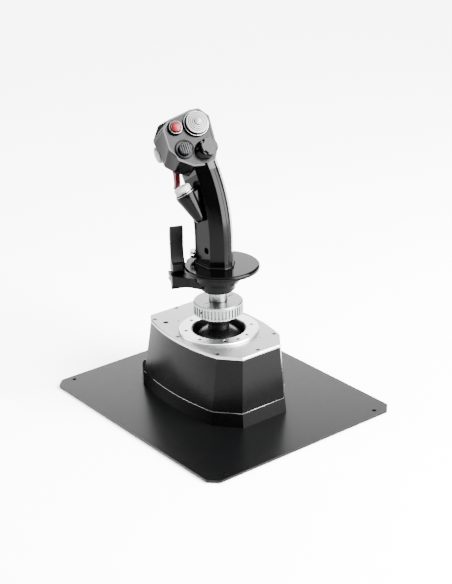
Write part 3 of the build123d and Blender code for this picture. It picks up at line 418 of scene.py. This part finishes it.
def trim_hat():
    """The white cap with its ridges and a small cone in the middle, and a fine bright metal rim round its seat,
    painted as the highlight on the seat's edge.
    """
    place = turn_frame(trim_centre + face_out * PIVOT_DEPTH * MM, face_right, face_out)
    stem_and_edge = [(0.0, -10.5), (3.0, -10.5), (3.0, 5.5), (5.0, 6.5), (13.0, 6.5), (13.6, 7.0),
                     (13.75, 7.6), (13.75, 8.3), (13.3, 9.0)]
    cone = [(4.2, 13.4), (2.6, 15.2), (1.6, 16.2), (0.9, 16.6), (0.0, 16.7)]
    cap = turned("trim_hat_cap", place, stem_and_edge + hat_ridges() + cone, "trim_cap", "white_matte")
    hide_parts("trim_cap")
    # Painted highlight: a bright metal rim stands in for the light caught by the black seat's edge.
    rim = [(15.0, 2.0), (15.0, 3.5), (15.2, 3.7), (15.5, 3.65), (15.7, 3.2), (15.7, 2.6)]
    turned("trim_seat_highlight_rim", place, rim, "stick", "satin_aluminium")


def weapon_highlight_rim():
    """A fine bright metal rim round the red button, painted as the highlight on its black collar's edge."""
    across = face_right * WEAPON_RIGHT + face_up * WEAPON_UP
    centre = trim_centre + (across + face_out * PIVOT_DEPTH) * MM
    rim = [(7.6, 3.8), (7.6, 4.2), (7.75, 4.35), (7.95, 4.3), (8.1, 4.0), (8.1, 3.6)]
    turned("weapon_seat_highlight_rim", turn_frame(centre, face_right, face_out), rim, "stick", "satin_aluminium")


def pod_highlight_rims():
    """Two fine bright metal rims round the pod's button, painted as the highlights on its seat and collar."""
    out = -Vector(joints["pod_push"]["axis"])
    along = (POD_ALONG - out * POD_ALONG.dot(out)).normalized()
    place = turn_frame(POD_RING * MM, along, out)
    seat = [(10.9, 4.2), (10.9, 4.9), (11.2, 5.1), (11.5, 4.9), (11.6, 4.2)]
    collar = [(11.9, 1.9), (12.1, 2.2), (12.3, 2.1), (12.4, 1.7)]
    turned("pod_seat_highlight_rim", place, seat, "stick", "satin_aluminium")
    turned("pod_collar_highlight_rim", place, collar, "stick", "satin_aluminium")


def dust_dome():
    """The dome that closes the ring's mouth round the shaft, a sphere about the gimbal's centre."""
    centre = Vector(joints["stick_roll"]["pos_m"])
    profile = []
    for step in range(27):
        angle = math.radians(20.0 + 1.4 * step)
        profile.append((DOME_RADIUS * math.sin(angle), DOME_RADIUS * math.cos(angle)))
    turned("dust_dome", turn_frame(centre, Vector((1.0, 0.0, 0.0)), UP), profile, "stick", "black_satin")


def tube(name, points, radius, body, finish, sides=8):
    """A closed tube round level points given in order; radius in millimetres."""
    bm = bmesh.new()
    rows = []
    for before, point, after in zip(points[-1:] + points[:-1], points, points[1:] + points[:1]):
        out = (after - before).cross(UP).normalized()
        turns = [math.tau * i / sides for i in range(sides)]
        rows.append([
            bm.verts.new(point + (out * math.cos(turn) + UP * math.sin(turn)) * radius * MM)
            for turn in turns
        ])
    for low, high in zip(rows, rows[1:] + rows[:1]):
        ring_faces(bm, low, high)
    bmesh.ops.recalc_face_normals(bm, faces=bm.faces)
    piece = riding_piece(name, bm, body, finish)


def angle_between(first, second):
    """How far apart two directions round the vertical are, in radians."""
    return abs((first - second + math.pi) % math.tau - math.pi)


def rim_loop(name, height):
    """The outer loop of a CAD piece's vertices at that height in metres, in order round the piece."""
    corners = {}
    for vertex in nodes[name].data.vertices:
        if abs(vertex.co.z - height) < LEVEL_SLACK:
            corners[(round(vertex.co.x, 5), round(vertex.co.y, 5))] = vertex.co.copy()
    around = sorted((math.atan2(y, x), math.hypot(x, y), corners[x, y]) for x, y in corners)
    loop = []
    for angle, reach, corner in around:
        widest = max(near_reach for near_angle, near_reach, _ in around
                     if angle_between(near_angle, angle) < math.radians(NEIGHBOUR_ANGLE))
        if reach > widest - RIM_DEPTH * MM:
            loop.append(corner)
    return loop


def tray_highlight_bead():
    """A fine bright metal bead where the shell stands in its tray, a painted highlight standing in for the light
    that the tray's black rim catches.
    """
    rim = max(vertex.co.z for vertex in nodes["base_tray"].data.vertices)
    tube("tray_highlight_bead", rim_loop("base_tray", rim), BEAD_RADIUS, "base", "brushed_aluminium")


trim_hat()
weapon_highlight_rim()
pod_highlight_rims()
dust_dome()
tray_highlight_bead()


# ---------------------------------------------------------------- studio


def plain_floor():
    reach = 12.0
    mesh = bpy.data.meshes.new("floor")
    corners = [(-reach, -reach, 0.0), (reach, -reach, 0.0), (reach, reach, 0.0), (-reach, reach, 0.0)]
    mesh.from_pydata(corners, [], [(0, 1, 2, 3)])
    floor = bpy.data.objects.new("floor", mesh)
    bpy.context.scene.collection.objects.link(floor)
    s = Surface("floor", (0.86, 0.86, 0.86), 0.6, specular=0.2)
    mesh.materials.append(s.material)


def soft_light(name, place, target, width, height, power):
    """A rectangular soft box at place, facing target."""
    data = bpy.data.lights.new(name, "AREA")
    data.shape = "RECTANGLE"
    data.size = width
    data.size_y = height
    data.energy = power
    light = bpy.data.objects.new(name, data)
    light.location = place
    light.rotation_euler = (Vector(target) - Vector(place)).to_track_quat("-Z", "Y").to_euler()
    bpy.context.scene.collection.objects.link(light)


def sky():
    """Studio surround: dark up to 30 degrees above the horizon, so that glossy sides stay black,
    and bright overhead; the ramp runs over the sine of the elevation."""
    world = bpy.data.worlds.new("studio")
    world.use_nodes = True
    tree = world.node_tree
    place = tree.nodes.new("ShaderNodeTexCoord")
    split = tree.nodes.new("ShaderNodeSeparateXYZ")
    ramp = tree.nodes.new("ShaderNodeMapRange")
    ramp.interpolation_type = "SMOOTHSTEP"
    ramp.inputs["From Min"].default_value = 0.5
    ramp.inputs["From Max"].default_value = 0.95
    ramp.inputs["To Min"].default_value = 0.12
    ramp.inputs["To Max"].default_value = 8.5
    tree.links.new(place.outputs["Generated"], split.inputs["Vector"])
    tree.links.new(split.outputs["Z"], ramp.inputs["Value"])
    tree.links.new(ramp.outputs["Result"], tree.nodes["Background"].inputs["Strength"])
    tree.nodes["Background"].inputs["Color"].default_value = (1.0, 1.0, 1.0, 1.0)
    bpy.context.scene.world = world


def studio():
    sky()
    soft_light("right_wall", (0.72, -1.5, 0.97), (0.0, 0.0, 0.3), 1.5, 2.2, 1050.0)
    soft_light("back_wall", (1.85, 2.35, 0.98), (0.0, 0.0, 0.2), 3.0, 1.15, 130.0)
    soft_light("left_wall", (-1.6, 1.6, 0.7), (0.0, 0.0, 0.1), 1.5, 1.3, 170.0)


def camera():
    """Camera to the left of the user and above the grip, looking down on it."""
    azimuth = math.radians(-37.963)
    pitch = math.radians(23.141)
    roll = math.radians(-1.172)
    right = Vector((math.cos(azimuth), math.sin(azimuth), 0.0))
    ahead = Vector((-math.sin(azimuth), math.cos(azimuth), 0.0))
    forward = ahead * math.cos(pitch) - UP * math.sin(pitch)
    up = right.cross(forward)
    rolled_right = right * math.cos(roll) + up * math.sin(roll)
    rolled_up = up * math.cos(roll) - right * math.sin(roll)
    turn = Matrix((rolled_right, rolled_up, -forward)).transposed()
    data = bpy.data.cameras.new("camera")
    data.lens = 86.64
    place = Vector((-0.9859, -1.2799, 0.8385))
    eye = bpy.data.objects.new("camera", data)
    eye.matrix_world = Matrix.Translation(place) @ turn.to_4x4()
    bpy.context.scene.collection.objects.link(eye)
    bpy.context.scene.camera = eye


plain_floor()
studio()
camera()
